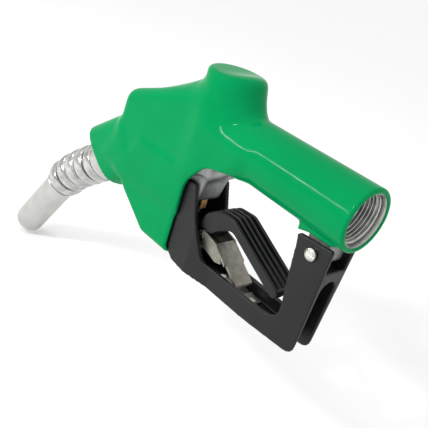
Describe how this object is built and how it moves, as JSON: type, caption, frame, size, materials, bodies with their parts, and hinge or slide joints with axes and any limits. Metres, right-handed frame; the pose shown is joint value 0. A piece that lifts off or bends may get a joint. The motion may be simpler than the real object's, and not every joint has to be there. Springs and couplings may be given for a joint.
{
  "type": "fuel nozzle",
  "caption": "Automatic fuel nozzle with a green hand cover, a bent metal spout, a squeeze lever in a black guard and a threaded inlet.",
  "frame": {"origin": "centre of the inlet mouth", "axes": "+X out of the inlet, away from the spout; +Z from the lever towards the valve cap; +Y to the left of a hand that holds the handle and points the spout forward"},
  "size_m": [0.315, 0.0406, 0.2176],
  "materials": {
    "vinyl": "glossy green vinyl",
    "casting": "as cast, grey",
    "black_paint": "satin black powder coat",
    "aluminium": "satin",
    "steel": "satin",
    "brass": "machined",
    "rubber": "matte"
  },
  "bodies": {
    "main": {"hand_cover": "vinyl", "body": "casting", "lever_guard": "black_paint", "valve_cap": "aluminium", "diaphragm_cap": "aluminium", "spout_adapter": "aluminium", "spout": "aluminium", "air_tube": "aluminium", "spout_sleeve": "aluminium", "main_spring": "steel", "latch_spring": "steel", "diaphragm_spring": "steel", "cap_screw_1": "steel", "cap_screw_2": "steel", "cap_screw_3": "steel", "cap_screw_4": "steel", "check_spring": "steel", "spout_screw": "steel", "guard_screw_near": "steel", "guard_screw_far": "steel", "rear_screw": "steel", "rear_nut": "steel", "hold_open_rack": "steel", "rack_rivet_1": "steel", "rack_rivet_2": "steel", "packing_nut": "brass", "check_seat": "brass", "cap_seal": "rubber", "stem_packing": "rubber", "diaphragm": "rubber", "spout_seal": "rubber"},
    "latch": {"latch_stem": "steel", "latch_ball_1": "steel", "latch_ball_2": "steel", "latch_ball_3": "steel", "lever_pin": "steel"},
    "lever": {"lever": "black_paint", "clip_pin": "steel", "clip_spring": "steel"},
    "clip": {"hold_open_clip": "steel"},
    "main_valve": {"valve_stem": "steel", "main_poppet": "aluminium", "poppet_disc": "rubber"},
    "diaphragm_pin": {"latch_pin": "steel"},
    "check_valve": {"check_poppet": "brass"}
  },
  "joints": [
    {"name": "latch_trip", "type": "slide", "parent": "main", "child": "latch", "axis": [0.4384, 0, -0.8988], "range_m": [0, 0.004], "stiffness_N_per_m": 800, "springref_m": -0.012, "deforming": ["latch_spring"]},
    {"name": "lever_squeeze", "type": "hinge", "parent": "latch", "child": "lever", "pos_m": [-0.139, 0, -0.077], "axis": [0, -1, 0], "range_deg": [0, 13], "stiffness_Nm_per_rad": 4, "springref_deg": -17.19},
    {"name": "clip_swing", "type": "hinge", "parent": "lever", "child": "clip", "pos_m": [-0.1005, 0, -0.0665], "axis": [0, -1, 0], "range_deg": [0, 20], "stiffness_Nm_per_rad": 0.05, "springref_deg": -17.19},
    {"name": "valve_lift", "type": "slide", "parent": "main", "child": "main_valve", "axis": [0, 0, 1], "range_m": [0, 0.0054], "deforming": ["main_spring"]},
    {"name": "diaphragm_pull", "type": "slide", "parent": "main", "child": "diaphragm_pin", "axis": [-0.4384, 0, 0.8988], "range_m": [0, 0.0025], "stiffness_N_per_m": 300, "springref_m": -0.004, "deforming": ["diaphragm", "diaphragm_spring"]},
    {"name": "check_open", "type": "slide", "parent": "main", "child": "check_valve", "axis": [-0.788, 0, -0.6157], "range_m": [0, 0.003], "stiffness_N_per_m": 150, "springref_m": -0.006, "deforming": ["check_spring"]}
  ],
  "couplings": [
    {"joint": "valve_lift", "follows": "lever_squeeze", "m_per_rad": 0.0235}
  ]
}
